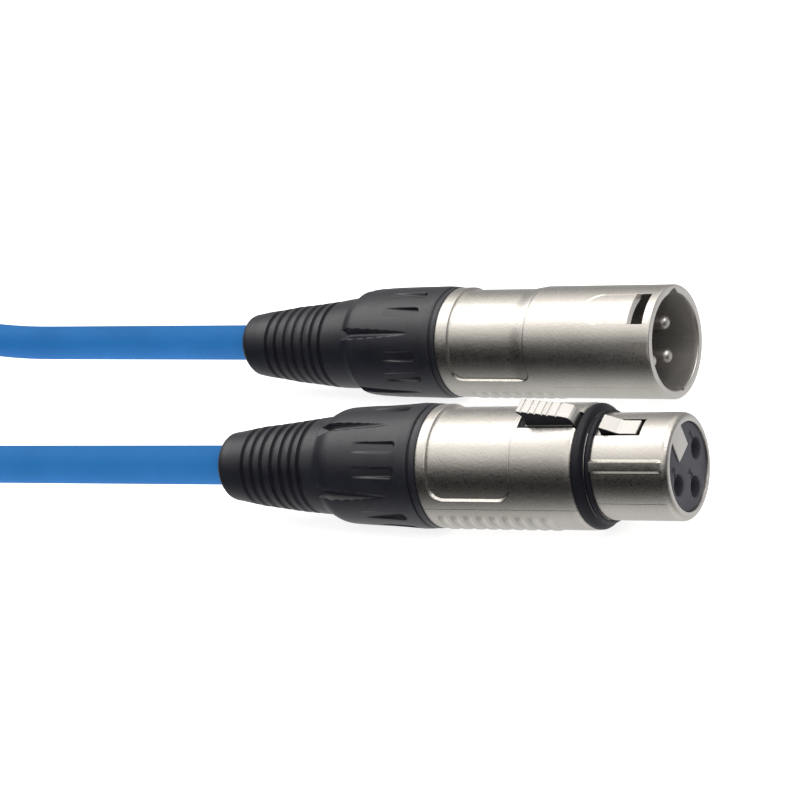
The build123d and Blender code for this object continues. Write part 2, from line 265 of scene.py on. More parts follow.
def nickel(name, lo, hi, r0, r1, grain=7000.0, strength=0.35, dist=2.0e-5):
    """Satin nickel over a fine cast grain."""
    m, nt, b, tc = mat_base(name)
    b.inputs["Metallic"].default_value = 1.0
    big = noise(nt, tc, 160, 3)
    c = ramp(nt, big.outputs[0], [(0.3, lo + (1,)), (0.7, hi + (1,))])
    nt.links.new(c.outputs[0], b.inputs["Base Color"])
    fine = noise(nt, tc, grain, 2, 0.6)
    rr = ramp(nt, fine.outputs[0], [(0.3, grey(r0)), (0.7, grey(r1))])
    nt.links.new(rr.outputs[0], b.inputs["Roughness"])
    bump(nt, b, fine.outputs[0], strength, dist)
    return m


NICKEL = nickel("satin_nickel", (0.64, 0.613, 0.57), (0.70, 0.672, 0.632), 0.26, 0.37, 2600, 1.0, 2.2e-5)
NICKEL_IN = nickel("satin_nickel_inside", (0.44, 0.425, 0.405), (0.52, 0.50, 0.48), 0.42, 0.55, 2600, 1.0, 3e-5)
NICKEL_IN.node_tree.nodes["Principled BSDF"].inputs["Metallic"].default_value = 0.85
LATCH_M = nickel("latch_nickel", (0.68, 0.66, 0.625), (0.74, 0.72, 0.69), 0.32, 0.42, 3000, 0.8, 6e-6)
# near-black copy of the nickel for the latch's flat sides and the slot walls: painted shade
LATCH_SIDE_PAINTED_SHADE = nickel("latch_side_painted_shade", (0.075, 0.078, 0.095), (0.095, 0.098, 0.115), 0.40, 0.5, 3000, 0.8, 6e-6)
PIN_M = nickel("contact_plate", (0.66, 0.635, 0.60), (0.74, 0.71, 0.68), 0.36, 0.46, 3500, 0.6, 5e-6)


def polymer(name, c0, c1, r0, r1, grain=2600.0, strength=0.25, dist=2.5e-5, spec=0.5, big=300):
    m, nt, b, tc = mat_base(name)
    bn = noise(nt, tc, big, 3)
    c = ramp(nt, bn.outputs[0], [(0.35, c0 + (1,)), (0.65, c1 + (1,))])
    nt.links.new(c.outputs[0], b.inputs["Base Color"])
    fine = noise(nt, tc, grain, 3, 0.6)
    rr = ramp(nt, fine.outputs[0], [(0.3, grey(r0)), (0.7, grey(r1))])
    nt.links.new(rr.outputs[0], b.inputs["Roughness"])
    b.inputs["Specular IOR Level"].default_value = spec
    bump(nt, b, fine.outputs[0], strength, dist)
    return m


RUBBER = polymer("boot_rubber_m", (0.0062, 0.0070, 0.0125), (0.0095, 0.0105, 0.0180), 0.32, 0.42, 2600, 0.3, spec=0.75)
RING_M = polymer("ring_rubber_m", (0.003, 0.0034, 0.0075), (0.005, 0.0055, 0.0115), 0.40, 0.50, 3000, 0.15, spec=0.38)
INSERT = polymer("insert_plastic", (0.042, 0.042, 0.054), (0.053, 0.053, 0.067), 0.5, 0.65, 3500, 0.25, spec=0.4)
BUSH = polymer("bush_plastic_m", (0.025, 0.025, 0.03), (0.035, 0.035, 0.04), 0.35, 0.5)
CHUCK = polymer("chuck_plastic_m", (0.78, 0.78, 0.74), (0.85, 0.85, 0.82), 0.35, 0.5)
JACKET = polymer("blue_pvc", (0.016, 0.142, 0.40), (0.019, 0.160, 0.44), 0.55, 0.68, 1500, 0.12, 3e-5, spec=0.15, big=90)
RED = polymer("core_red_m", (0.55, 0.02, 0.02), (0.62, 0.03, 0.03), 0.35, 0.5)
WHITE = polymer("core_white_m", (0.8, 0.8, 0.8), (0.86, 0.86, 0.86), 0.35, 0.5)


def copper():
    m, nt, b, tc = mat_base("shield_copper_m")
    b.inputs["Metallic"].default_value = 1.0
    w = noise(nt, tc, 3000, 2, 0.5, (0.4, 1, 1))
    c = ramp(nt, w.outputs[0], [(0.3, (0.55, 0.27, 0.15, 1)), (0.7, (0.80, 0.45, 0.28, 1))])
    nt.links.new(c.outputs[0], b.inputs["Base Color"])
    b.inputs["Roughness"].default_value = 0.3
    bump(nt, b, w.outputs[0], 0.6, 6e-5)
    return m


COPPER = copper()


def steel():
    m, nt, b, tc = mat_base("spring_steel_m")
    b.inputs["Metallic"].default_value = 1.0
    w = noise(nt, tc, 5000, 2)
    c = ramp(nt, w.outputs[0], [(0.3, grey(0.45)), (0.7, grey(0.6))])
    nt.links.new(c.outputs[0], b.inputs["Base Color"])
    b.inputs["Roughness"].default_value = 0.28
    bump(nt, b, w.outputs[0], 0.2, 1e-5)
    return m


STEEL = steel()


def webbing():
    """Woven hook-and-loop tape."""
    m, nt, b, tc = mat_base("tie_weave")
    mp = nt.nodes.new("ShaderNodeMapping")
    mp.inputs["Scale"].default_value = (1, 1, 1)
    nt.links.new(tc.outputs["Object"], mp.inputs[0])
    w1 = nt.nodes.new("ShaderNodeTexWave")
    w1.bands_direction = "Z"
    w1.inputs["Scale"].default_value = 520
    w1.inputs["Distortion"].default_value = 1.2
    nt.links.new(mp.outputs[0], w1.inputs[0])
    w2 = nt.nodes.new("ShaderNodeTexWave")
    w2.bands_direction = "DIAGONAL"
    w2.inputs["Scale"].default_value = 430
    w2.inputs["Distortion"].default_value = 1.0
    nt.links.new(mp.outputs[0], w2.inputs[0])
    fz = noise(nt, tc, 2600, 4, 0.7)
    mx = nt.nodes.new("ShaderNodeMath")
    mx.operation = "MULTIPLY"
    nt.links.new(w1.outputs["Fac"], mx.inputs[0])
    nt.links.new(w2.outputs["Fac"], mx.inputs[1])
    ad = nt.nodes.new("ShaderNodeMath")
    ad.operation = "MULTIPLY_ADD"
    nt.links.new(fz.outputs[0], ad.inputs[0])
    ad.inputs[1].default_value = 0.6
    nt.links.new(mx.outputs[0], ad.inputs[2])
    c = ramp(nt, ad.outputs[0], [(0.2, grey(0.012)), (1.0, grey(0.045))])
    nt.links.new(c.outputs[0], b.inputs["Base Color"])
    b.inputs["Roughness"].default_value = 0.9
    b.inputs["Sheen Weight"].default_value = 0.35
    bump(nt, b, ad.outputs[0], 0.8, 1.2e-4)
    return m


WEAVE = webbing()


# ------------------------------------------------------------------ the cord
CABLE_R = 3.2
COIL_C = ((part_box("cable_coil")[0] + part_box("cable_coil")[1]) / 2) / MM
COLS = (29.8, 36.4, 43.0)
PITCH = 6.6
CELLS = [(3, 2), (3, 1), (2, 1), (1, 1), (1, 2), (2, 2), (2, 3), (1, 3), (1, 4), (2, 4), (3, 4), (3, 3)]
TIE_ANGLE = 205.0
LAG = 15.0
HALF = 30.0
PER_TURN = 16


def coil_points():
    """Control points of the wound turns: one cell of the stack per turn, then a step to the next."""
    total = len(CELLS) * (360.0 - LAG)
    n = int(round(total / (360.0 / PER_TURN)))
    k = 8.0 / (6.0 + 2.0 * math.cos(2 * math.pi / PER_TURN))
    out = []
    for i in range(n + 1):
        phi = total * i / n
        r, z = COLS[CELLS[0][0] - 1], CABLE_R + (CELLS[0][1] - 1) * PITCH
        for c in range(len(CELLS) - 1):
            centre = 330.0 + c * (360.0 - LAG)
            f = float(sstep(centre - HALF, centre + HALF, phi))
            a, b = CELLS[c], CELLS[c + 1]
            r += f * (COLS[b[0] - 1] - COLS[a[0] - 1])
            z += f * (b[1] - a[1]) * PITCH
        ang = 90.0 + phi
        d = (ang - TIE_ANGLE + 180.0) % 360.0 - 180.0
        s = 1.0 - float(sstep(16.0, 44.0, abs(d)))
        z += s * (4.45 + (z - CABLE_R) * 0.934 - z)
        # a hand-wound coil isn't perfectly even
        r += 0.10 * math.sin(phi * 0.0171 + 1.3) + 0.07 * math.sin(phi * 0.0467)
        rr = r * k
        a = math.radians(ang)
        out.append((COIL_C[0] + rr * math.cos(a), COIL_C[1] + rr * math.sin(a), z))
    return out


mexit = MALE @ Vector((-86.4 * MM, 0, 0))
fexit = FEMALE @ Vector((-80.4 * MM, 0, 0))
fx1 = (FEMALE @ Vector((-130.0 * MM, 0, 0))) / MM
mx0, my0, mz0 = (c / MM for c in mexit)
fx0, fy0, fz0 = (c / MM for c in fexit)
R_OUT = COLS[-1]
Y_M, Y_F = COIL_C[1] + R_OUT, COIL_C[1] - R_OUT
X_TAN = COIL_C[0]
Z_IN, Z_OUT = CABLE_R + PITCH, CABLE_R + 2 * PITCH
MALE_ROUTE = [(mx0, my0, mz0), (mx0 - 34.0, my0, mz0), (mx0 - 64.4, my0, mz0), (-147.2, Y_M - 0.6, Z_IN)]
FEMALE_ROUTE = [(-141.2, Y_F + 0.9, Z_OUT - 1.0), (-105.2, fx1[1] - 5.2, mz0 + 1.6),
                (fx1[0], fx1[1], mz0), (fx0, fy0, fz0)]
turns = coil_points()
route = MALE_ROUTE + turns + FEMALE_ROUTE

cu = bpy.data.curves.new("blue_cable", "CURVE")
cu.dimensions = "3D"
sp = cu.splines.new("NURBS")
sp.points.add(len(route) - 1)
for p, q in zip(sp.points, route):
    p.co = (q[0] * MM, q[1] * MM, q[2] * MM, 1)
sp.order_u = 3
sp.use_endpoint_u = True
sp.resolution_u = 8
cu.bevel_depth = CABLE_R * MM
cu.bevel_resolution = 6
cu.use_fill_caps = True
cable = bpy.data.objects.new("blue_cable", cu)
COL.objects.link(cable)
cu.materials.append(JACKET)
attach(cable, "cable_assembly")
cable.visible_glossy = False
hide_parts("cable_lead_male", "cable_coil", "cable_lead_female")

# tie: a woven strap round the bundle, overlapped on the outside
def make_tie():
    ri, ro, z0, z1, th = 26.45, 46.45, 1.2, 26.25, 1.15
    loop_in, loop_out = [], []

    def rect(a, b, c, d, rad, n=5):
        pts = []
        for cx, cz, s in ((b - rad, d - rad, 0), (a + rad, d - rad, 90), (a + rad, c + rad, 180),
                          (b - rad, c + rad, 270)):
            for i in range(n + 1):
                t = math.radians(s + 90.0 * i / n)
                pts.append((cx + rad * math.cos(t), cz + rad * math.sin(t)))
        return pts
    # one wrap and a half: start low outside, round once, and overlap on the outside face
    inner = rect(ri, ro, z0, z1, 2.2)
    outer = rect(ri - th, ro + th, z0 - th, z1 + th, 2.2 + th)
    W = 10.0
    ny = 24
    ys = np.linspace(-W, W, ny + 1)
    ang = math.radians(TIE_ANGLE)
    ca, sa = math.cos(ang), math.sin(ang)

    def place(r, y, z):
        x = math.sqrt(max(r * r - y * y, 0))
        return (COIL_C[0] + x * ca - y * sa, COIL_C[1] + x * sa + y * ca, z)
    verts, faces = [], []
    n = len(inner)
    for y in ys:
        edge = 1.0 if abs(y) < W - 0.01 else 0.55
        for (a, b), (c, d) in zip(inner, outer):
            m = ((a + c) / 2, (b + d) / 2)
            verts.append(place(m[0] + (a - m[0]) * edge, y, m[1] + (b - m[1]) * edge))
        for (a, b), (c, d) in zip(inner, outer):
            m = ((a + c) / 2, (b + d) / 2)
            verts.append(place(m[0] + (c - m[0]) * edge, y, max(0.0, m[1] + (d - m[1]) * edge)))
    per = 2 * n
    for j in range(ny):
        a, b = j * per, (j + 1) * per
        for i in range(n):
            i2 = (i + 1) % n
            faces.append((a + i, a + i2, b + i2, b + i))
            faces.append((a + n + i, b + n + i, b + n + i2, a + n + i2))
    for j in (0, ny):
        a = j * per
        for i in range(n):
            i2 = (i + 1) % n
            faces.append((a + i, a + n + i, a + n + i2, a + i2))
    tie = new_obj("coil_tie_strap", verts, faces, None, [WEAVE], 50)
    # overlapping end tab
    verts, faces = [], []
    za, zb = 3.4, z1 - 2.2
    nz = 20
    rt0, rt1 = ro + th + 0.02, ro + 2 * th
    for y in ys:
        for i in range(nz + 1):
            z = za + (zb - za) * i / nz
            w = 1.0 - 0.25 * float(sstep(zb - 2.0, zb, z)) * (1 if abs(y) > W - 2 else 0)
            verts.append(place(rt0, y * w, z))
        for i in range(nz + 1):
            z = za + (zb - za) * i / nz
            lift = 0.0 if 0 < i < nz and abs(y) < W - 0.01 else -0.45
            w = 1.0 - 0.25 * float(sstep(zb - 2.0, zb, z)) * (1 if abs(y) > W - 2 else 0)
            verts.append(place(rt1 + lift, y * w, z))
    m = nz + 1
    per = 2 * m
    for j in range(ny):
        a, b = j * per, (j + 1) * per
        for i in range(nz):
            faces.append((a + i, a + i + 1, b + i + 1, b + i))
            faces.append((a + m + i, b + m + i, b + m + i + 1, a + m + i + 1))
        faces.append((a, b, b + m, a + m))
        faces.append((a + nz, a + m + nz, b + m + nz, b + nz))
    for j in (0, ny):
        a = j * per
        for i in range(nz):
            faces.append((a + i, a + m + i, a + m + i + 1, a + i + 1))
    tab = new_obj("coil_tie_end", verts, faces, None, [WEAVE], 50)
    return tie, tab


tie, tie_end = make_tie()
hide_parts("coil_tie")

# ------------------------------------------------------------------ camera
CAM_AXES = Matrix(((0.8297494, -0.0106150, 0.5580352),
                   (0.5184098, 0.3851135, -0.7635043),
                   (-0.2068023, 0.9228082, 0.3250506)))
cam_d = bpy.data.cameras.new("camera")
cam = bpy.data.objects.new("camera", cam_d)
COL.objects.link(cam)
cam_d.sensor_width = 36.0
cam_d.lens = 2650.90 / 800.0 * 36.0
cam_d.clip_start, cam_d.clip_end = 0.02, 20.0
cam_m = CAM_AXES.to_4x4()
cam_m.translation = Vector((0.2062813, -0.3610279, 0.1426245)) + Vector(_cup["pos_m"])
cam.matrix_world = cam_m
bpy.context.scene.camera = cam

# ------------------------------------------------------------------ shells
NT = 360
TH = np.linspace(-math.pi, math.pi, NT, endpoint=False)


def rr_dist(u, v, hu, hv, rad):
    """Signed distance to a rounded rectangle, negative inside."""
    du, dv = np.abs(u) - (hu - rad), np.abs(v) - (hv - rad)
    return np.hypot(np.maximum(du, 0), np.maximum(dv, 0)) + np.minimum(np.maximum(du, dv), 0) - rad


def wrap(a):
    return (a + math.pi) % (2 * math.pi) - math.pi


def grip(t, th, first, n, pitch, h, slant):
    """Row of short raised bars on the underside, slightly oblique."""
    out = np.zeros_like(t)
    s = np.degrees(np.abs(th))
    env = sstep(98, 106, s) * (1 - sstep(158, 166, s))
    lean = (s - 130) / 30.0 * slant
    for i in range(n):
        c = first + i * pitch
        d = np.abs(t - c - lean)
        out = np.maximum(out, h * (1 - sstep(0.30, 0.72, d)))
    return out * env


def wedge(th, deg, r0w, topw, R):
    """0 to 1 across a trapezium bar that runs along the axis."""
    s = np.abs(wrap(th - math.radians(deg))) * R
    return 1 - np.clip((s - topw) / (r0w - topw), 0, 1)


def theta_grid(extra, n):
    """Angles all round, with extra lines packed round each listed angle (degrees)."""
    base = list(np.linspace(-180, 180, n, endpoint=False))
    for c, w, k in extra:
        base += list(np.linspace(c - w, c + w, k))
    a = np.unique(np.round(wrap(np.radians(base)), 6))
    keep = [a[0]]
    for v in a[1:]:
        if v - keep[-1] > math.radians(0.12):
            keep.append(v)
    return np.array(keep)


def male_shell():
    R = 9.5
    outer = [(-41.6, R - 0.28), (-41.53, R - 0.12), (-41.4, R - 0.03), (-41.2, R)]
    xs = [-40.8, -40.2, -39.6]
    xs += list(np.arange(-39.4, -22.6, 0.14))
    xs += list(np.arange(-22.6, -13.6, 0.5)) + list(np.arange(-13.6, -9.6, 0.14))
    xs += list(np.arange(-9.6, -0.9, 0.3))
    outer += [(x, R) for x in xs]
    outer += [(-0.55, R), (-0.30, R), (-0.18, R - 0.012), (-0.09, R - 0.045), (-0.03, R - 0.10), (0.0, R - 0.19)]
    rim = [(0.0, 8.29), (-0.03, 8.2), (-0.09, 8.14), (-0.2, 8.1)]
    inner = [(x, 8.1) for x in np.arange(-1.0, -15.4, -1.2)] + [(-15.5, 8.1), (-15.52, 8.2)]
    inner += [(x, 8.2) for x in (-20, -26, -32, -38, -41.3)] + [(-41.6, 8.3)]
    loop = outer + rim + inner
    no = len(outer)

    def mod(X, Rr, T):
        t = -X
        X, Rr = X.copy(), Rr.copy()
        o = slice(0, no)
        to, th = t[o], T[o]
        sd = rr_dist(to - 31.45, th * 9.3, 7.55, math.radians(80.5) * 9.3, 1.7)
        # shallow at its front edge, deeper towards the rear
        rise = 0.09 + 0.33 * sstep(24.0, 27.0, to)
        dep = rise * (1 - sstep(-0.09, 0.09, sd))
        Rr[o] -= dep
        Rr[o] += grip(to, th, 21.6, 8, 2.22, 0.13, 0.5)
        # shallow tongue-shaped pocket behind the latch window
        y = th * R
        tp = to - 1.4
        hw = 3.12
        d1 = np.where(to < 10.1, np.abs(y) - hw, np.hypot(to - 10.1, y) - hw)
        pk = 0.11 * (1 - sstep(-0.07, 0.07, d1)) * (to > 3.0)
        Rr[o] -= pk
        # casting line along each side
        s = np.abs(np.degrees(np.abs(th)) - 90) * R * math.pi / 180
        Rr[o] += 0.018 * (1 - sstep(0.03, 0.09, s)) * (to < 20.5) * (to > 1.0)
        # notches inside the cup
        i = slice(no, len(loop))
        for dg, lo, hi, top, dp in ((-49.5, 1.25, 2.3, 0.12, 0.80), (145.0, 0.75, 0.75, 0.25, 0.42)):
            s = wrap(T[i] - math.radians(dg)) * 8.1
            foot = np.where(s > 0, hi, lo)
            w = 1 - np.clip((np.abs(s) - top) / (foot - top), 0, 1)
            Rr[i] = np.where(t[i] < 12.9, np.maximum(Rr[i], 8.1 + dp * w), Rr[i])
        return X, Rr
    th = theta_grid([(-80.5, 2.2, 22), (80.5, 2.2, 22), (-46, 15, 50), (145, 8, 26),
                     (-19, 2, 12), (19, 2, 12), (90, 1.0, 9), (-90, 1.0, 9)], NT)
    ob = lathe("male_shell_body", loop, th, [NICKEL, NICKEL_IN], MALE, mod, 32)
    cut = prism("c", [(-4.35, -3.1), (-1.45, -3.1), (-1.45, 3.1), (-4.35, 3.1)], 5.5, 12.0, "z", MALE)
    # the window's rear wall stands square to the axis; its side walls are parallel
    cut.data.materials.append(NICKEL)
    boolean(ob, cut)
    inv = MALE.inverted()
    for p in ob.data.polygons:
        c = inv @ p.center / MM
        n = inv.to_3x3() @ p.normal
        r = math.hypot(c.y, c.z)
        p.material_index = 1 if (c.x < -0.5 and r < 8.95 and (n.y * c.y + n.z * c.z) < -0.1) else 0
    shade(ob, 32)
    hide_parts("male_shell")
    return ob


def female_shell():
    R, N = 9.5, 7.95
    body = [(-41.0, R - 0.28), (-40.93, R - 0.12), (-40.8, R - 0.03), (-40.6, R)]
    xs = [-40.3, -39.9]
    xs += list(np.arange(-39.7, -24.4, 0.14)) + list(np.arange(-24.4, -15.6, 0.4))
    body += [(x, R) for x in xs] + [(-15.2, R), (-15.0, R - 0.03), (-14.85, R - 0.12), (-14.72, R - 0.3)]
    seat = [(-14.7, 8.38), (-13.0, 8.34), (-12.98, 8.06), (-12.27, 8.03)]
    nose = [(-12.22, N), (-11.4, N), (-10.0, N), (-8.0, N), (-6.0, N), (-4.5, N), (-3.2, N), (-2.0, N), (-1.5, N),
            (-1.2, N), (-1.0, N), (-0.8, N - 0.01), (-0.66, N - 0.05), (-0.42, N - 0.16), (-0.22, N - 0.34),
            (-0.08, N - 0.56), (0.0, N - 0.82)]
    front = [(0.0, 6.75), (-0.05, 6.64), (-0.16, 6.6), (-1.38, 6.6), (-1.4, 7.1)]
    inner = [(-5, 7.1), (-10, 7.1), (-15.4, 7.1), (-16.4, 8.2), (-22, 8.2), (-28, 8.2), (-35, 8.2),
             (-40.7, 8.2), (-41.0, 8.3)]
    loop = body + seat + nose + front + inner
    nb, nn0 = len(body), len(body) + len(seat)
    nn1 = nn0 + len(nose)

    def mod(X, Rr, T):
        t = -X
        X, Rr = X.copy(), Rr.copy()
        o = slice(0, nb)
        to, th = t[o], T[o]
        sd = rr_dist(to - 32.15, th * 9.25, 6.9, math.radians(80.5) * 9.25, 2.3)
        Rr[o] -= 0.50 * (1 - sstep(-0.15, 0.15, sd))
        Rr[o] += grip(to, th, 21.3, 9, 2.2, 0.15, 0.5)
        s = np.abs(np.degrees(np.abs(th)) - 90) * R * math.pi / 180
        Rr[o] -= 0.045 * (1 - sstep(0.02, 0.08, s))
        # faint seam where the body's front sleeve meets the recess
        Rr[o] -= 0.05 * (1 - sstep(0.03, 0.09, np.abs(to - 24.9))) * (np.degrees(np.abs(th)) < 78)
        p = slice(nn0, nn1)
        tn, tt = t[p], T[p]
        for dg in (47.5, -145.0):
            w = wedge(tt, dg, 0.98, 0.62, N)
            along = np.clip((tn - 0.85) / 0.5, 0, 1)
            lean = np.clip(wrap(tt - math.radians(dg)) * N, -0.7, 0.7) * (1.0 if dg > 0 else 0.0)
            Rr[p] += (0.43 - 0.13 * lean) * w * along
        s = np.abs(np.degrees(np.abs(tt)) - 90) * N * math.pi / 180
        Rr[p] -= 0.03 * (1 - sstep(0.02, 0.08, s)) * (tn > 1.0)
        return X, Rr
    th = theta_grid([(-80.5, 2.4, 24), (80.5, 2.4, 24), (47.5, 9.5, 30), (-145, 9.5, 30),
                     (90, 1.0, 13), (-90, 1.0, 13)], NT)
    ob = lathe("female_shell_body", loop, th, [NICKEL, NICKEL_IN], FEMALE, mod, 32)
    # latch window and slot for the button
    cut = prism("c1", [(-24.4, -1.75), (-4.9, -1.75), (-4.9, 1.75), (-24.4, 1.75)], 5.0, 14.0, "z", FEMALE)
    boolean(ob, cut)
    # the slot's side and end walls take the near-black nickel as painted shade
    ob.data.materials.append(LATCH_SIDE_PAINTED_SHADE)
    inv = FEMALE.inverted()
    for p in ob.data.polygons:
        c = inv @ p.center / MM
        n = inv.to_3x3() @ p.normal
        if -24.6 < c.x < -14.8 and abs(c.y) < 1.78 and c.z > 5.0 and (abs(n.y) > 0.9 or abs(n.x) > 0.9):
            p.material_index = 2
    shade(ob, 32)
    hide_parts("female_shell")
    key = prism("female_key", [(-1.95, 2.65), (1.95, 2.65), (1.95, 6.9), (-1.95, 6.9)], -1.4, -0.02, "x",
                FEMALE, 0.10, 3, [NICKEL], "cable_assembly")
    return ob


# ------------------------------------------------------------------ boots
def boot(name, male, frame_m):
    end, L = (86.4, 41.6) if male else (80.4, 41.0)
    if male:
        prof = [(41.6, 9.30), (41.7, 9.48), (41.9, 9.58), (42.3, 9.60), (42.45, 9.54), (42.57, 9.32), (42.72, 9.32),
                (42.86, 9.60), (43.1, 9.70), (44.2, 9.75), (50, 9.68), (54, 9.63), (58, 9.45), (59.5, 9.3), (60.3, 9.15),
                (60.8, 8.85), (61.3, 8.4), (61.8, 8.15)]
        tail = [(61.8, 8.15), (63, 8.06), (65, 7.92), (68, 7.64), (72, 7.2), (76, 6.85), (80, 6.27), (82.5, 6.0),
                (84, 5.75), (84.8, 5.62), (85.4, 5.4), (85.9, 5.0), (86.2, 4.5), (86.35, 3.9), (end, 3.6)]
        grooves = [67.07, 69.14, 71.11, 73.31, 75.31, 77.53, 79.76]
        step_t, floor_r, droop, roll = 61.8, 8.14, -0.42, math.radians(31.92)
    else:
        prof = [(41.0, 9.30), (41.1, 9.48), (41.3, 9.56), (41.85, 9.58), (42.05, 9.52), (42.17, 9.30), (42.32, 9.30),
                (42.47, 9.57), (42.7, 9.64), (44.2, 9.68), (47, 9.49), (50, 9.34), (53, 9.26), (55.5, 9.15), (57, 9.05),
                (58, 8.83), (58.8, 8.5), (59.6, 8.07), (60.2, 7.78)]
        tail = [(60.2, 7.78), (60.5, 7.72), (62.5, 7.55), (66, 7.21), (70, 6.75), (74, 6.33), (76.5, 5.88), (78, 5.62),
                (79, 5.5), (79.5, 5.3), (79.9, 4.95), (80.2, 4.4), (80.35, 3.8), (end, 3.6)]
        grooves = [63.14, 64.82, 66.68, 68.56, 70.63, 72.52, 74.43]
        step_t, floor_r, droop, roll = 60.2, 7.76, -0.18, math.radians(19.26)
    pt = prof + tail[1:]
    tk, rk = np.array([p[0] for p in pt]), np.array([p[1] for p in pt])
    step = 0.10
    ts = np.unique(np.round(np.concatenate([np.arange(L, 44.4, 0.06), np.arange(44.4, step_t + 1.2, step * 1.6),
                                            np.arange(step_t + 1.2, end - 0.8, step), np.arange(end - 0.8, end, 0.05), [end]]), 4))
    # smooth interpolation through the profile
    base = np.interp(ts, tk, rk)
    k = 5
    ker = np.ones(k) / k
    sm = np.convolve(np.pad(base, k // 2, mode="edge"), ker, "valid")
    base = np.where((ts > 44.6) & (ts < end - 0.9), sm, base)
    base[-1] = 3.55
    outer = list(zip(-ts, base))
    inner = [(-end, 3.27), (-end + 0.3, 3.24), (-70, 3.24), (-60.5, 3.24), (-60.45, 7.0), (-57.5, 8.0), (-L, 8.35)]
    if not male:
        inner = [(-end, 3.27), (-end + 0.3, 3.24), (-66, 3.24), (-57.5, 3.24), (-57.45, 7.0), (-54.5, 8.0), (-L, 8.35)]
    loop = outer + inner
    no = len(outer)
    k0 = 27.5 if male else 5.5
    sc_deg = [k0 + 72 * i for i in range(5)]
    sl_deg = [d + o for d in sc_deg for o in (24, 48)]

    def mod(X, Rr, T):
        t = -X
        Rr = Rr.copy()
        o = slice(0, no)
        to, th, ro = t[o], T[o], Rr[o]
        d = np.zeros_like(to)
        # ribs: rounded grooves between flat-topped rings
        for g in grooves:
            u = (to - g) / 0.52
            d = np.maximum(d, 0.74 * np.clip(1 - u * u, 0, 1) ** 0.8)
        # slots: rounded front end, floor rising to nothing at the rear
        f0, f1 = (45.7, 53.0) if male else (44.7, 52.4)
        for a in sl_deg:
            s = wrap(th - math.radians(a)) * 9.6
            hw = 0.80
            along = np.clip((f1 - to) / (f1 - f0 - 1.2), 0, 1)
            cap = np.where(to < f0 + hw, np.hypot(np.minimum(to - f0 - hw, 0), s) - hw, np.abs(s) - hw)
            d = np.maximum(d, 0.62 * along ** 0.8 * (1 - sstep(-0.16, 0.10, cap)))
        # scallops: deepest at the step, narrowing to a point towards the front
        s0, s1 = (47.0, 61.4) if male else (46.6, 59.4)
        sc = np.zeros_like(to)
        for a in sc_deg:
            s = wrap(th - math.radians(a)) * 9.6
            f = np.clip((to - s0) / (s1 - s0), 0, 1)
            hw = 0.14 + 0.95 * f ** 0.8
            sc = np.maximum(sc, 1.0 * f ** 0.9 * np.clip(1 - (s / hw) ** 2, 0, 1))
        sc = np.where(to < step_t, np.minimum(sc, np.maximum(ro - floor_r, 0.0)), 0.0)
        d = np.maximum(d, sc)
        Rr[o] = np.maximum(ro - d, 3.5)
        # the heavy tail hangs a little
        Rr[o] += droop * sstep(59.5, 68.0, to) * (1 - sstep(end - 1.6, end - 0.1, to)) * np.cos(th + roll)
        # soft mould lines along both sides
        s = np.abs(np.degrees(np.abs(wrap(th - math.radians(20)))) - 90) * ro * math.pi / 180
        Rr[o] += 0.02 * (1 - sstep(0.02, 0.10, s)) * (to > 44.5)
        return X, Rr
    n = 480
    th = np.linspace(-math.pi, math.pi, n, endpoint=False)
    ob = lathe(name, loop, th, [RUBBER], frame_m, mod, 44)
    return ob


# ------------------------------------------------------------------ inserts, contacts, ring, latch
def disc_with_holes(name, frame_m, face_x, back_x, R, holes, mats, hole_r, cham, key=None, step=None):
    """Moulded insert: revolved body, then holes cut with a countersink, then the key slot."""
    edge = 0.18
    if step:
        loop = [(back_x, 0.0), (back_x, step[1]), (step[0] - 0.6, step[1]), (step[0], R), (face_x - edge, R),
                (face_x - edge * 0.3, R - edge * 0.3), (face_x, R - edge), (face_x, 0.0)]
    else:
        loop = [(back_x, 0.0), (back_x, R), (face_x - edge, R), (face_x - edge * 0.3, R - edge * 0.3),
                (face_x, R - edge), (face_x, 0.0)]
    m = 96
    ths = np.linspace(-math.pi, math.pi, m, endpoint=False)
    verts, faces = [(loop[0][0], 0, 0)], []
    rows = loop[1:-1]
    for x, r in rows:
        for t in ths:
            verts.append((x, -r * math.sin(t), r * math.cos(t)))
    verts.append((loop[-1][0], 0, 0))
    last = len(verts) - 1
    for j in range(m):
        j2 = (j + 1) % m
        faces.append((0, 1 + j, 1 + j2))
        for i in range(len(rows) - 1):
            a, b = 1 + i * m, 1 + (i + 1) * m
            faces.append((a + j, a + j2, b + j2, b + j))
        a = 1 + (len(rows) - 1) * m
        faces.append((a + j, a + j2, last))
    ob = new_obj(name, verts, faces, frame_m, mats, 0, None)
    for y, z in holes:
        pr = [(face_x + 1.0, hole_r + cham + 1.0), (face_x - cham, hole_r), (back_x - 2.0, hole_r)]
        k = 40
        vs, fs = [], []
        for x, r in pr:
            for i in range(k):
                a = 2 * math.pi * i / k
                vs.append((x, y + r * math.cos(a), z + r * math.sin(a)))
        fs.append(tuple(range(k)))
        fs.append(tuple(range(2 * k, 3 * k)))
        for q in range(2):
            for i in range(k):
                i2 = (i + 1) % k
                fs.append((q * k + i, q * k + i2, (q + 1) * k + i2, (q + 1) * k + i))
        c = new_obj("cut", vs, fs, frame_m, mats, 0, None)
        boolean(ob, c)
    if key:
        for (pts, lo, hi) in key:
            c = prism("cut", pts, lo, hi, "x", frame_m, mats=mats)
            boolean(ob, c)
    shade(ob, 30)
    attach(ob, "cable_assembly")
    return ob


